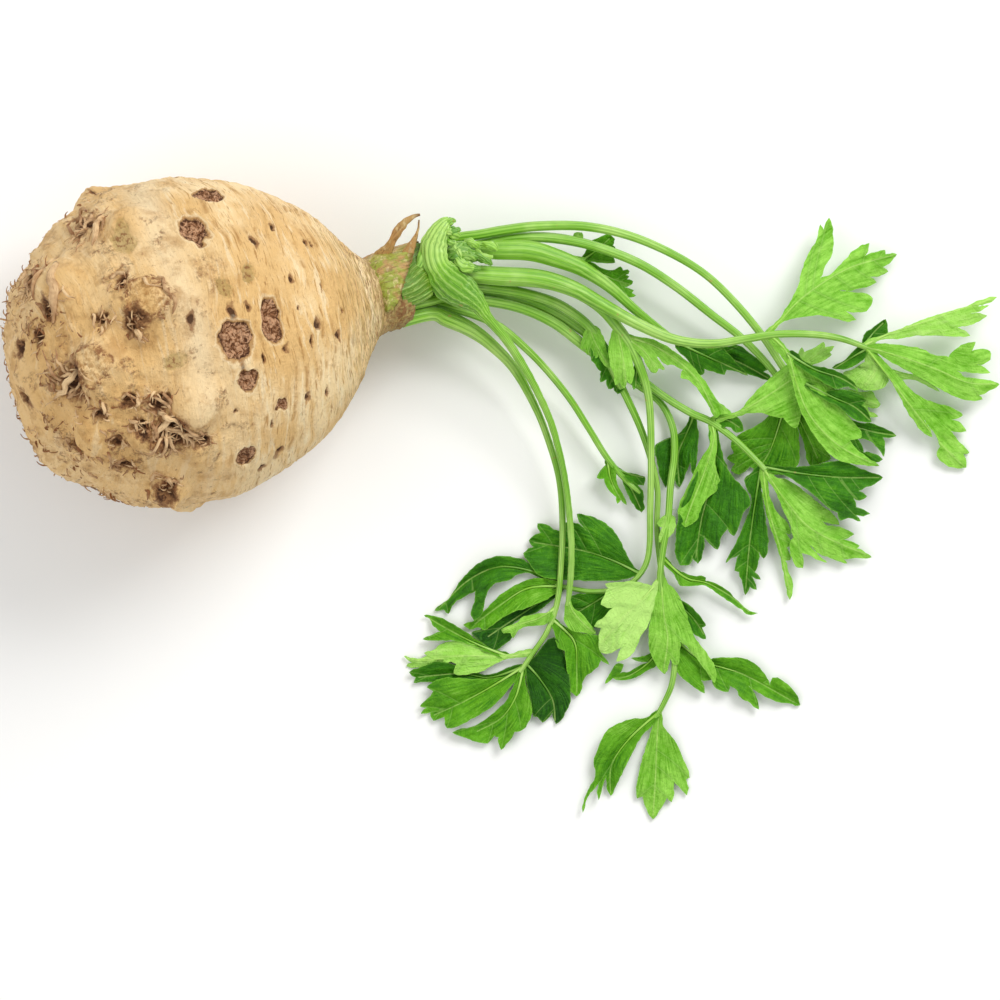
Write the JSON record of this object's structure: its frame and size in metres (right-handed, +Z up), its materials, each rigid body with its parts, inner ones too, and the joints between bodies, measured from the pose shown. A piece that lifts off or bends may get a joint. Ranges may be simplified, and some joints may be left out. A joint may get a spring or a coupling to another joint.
{
  "type": "celeriac root",
  "caption": "Fresh celeriac lying on its side: a knobbly swollen root with corky pits and rootlets, a dry husk at its neck, and leafy stalks spread beside it.",
  "frame": {"origin": "middle of the plant's bounding box seen from above, at table height", "axes": "+X along the longest extent, from the root's tip to the leaves; +Y across the table, away from the hanging leaves; +Z up from the table"},
  "size_m": [0.3684, 0.2352, 0.1199],
  "materials": {
    "root_skin": "dry cream skin with brown corky pits and torn rootlets",
    "dry_husk": "dry papery brown",
    "stalk_green": "fresh satin green"
  },
  "bodies": {
    "root": {"swollen_root": "root_skin", "dry_husk": "dry_husk", "crown_heart": "stalk_green", "stalk_top": "stalk_green", "stalk_second": "stalk_green", "stalk_third": "stalk_green", "stalk_short": "stalk_green", "stalk_long": "stalk_green", "stalk_forked": "stalk_green", "stalk_leaning": "stalk_green", "stalk_fan": "stalk_green", "stalk_hanging": "stalk_green", "stalk_outer": "stalk_green", "stalk_thin": "stalk_green", "stalk_sheathed": "stalk_green"}
  },
  "joints": []
}
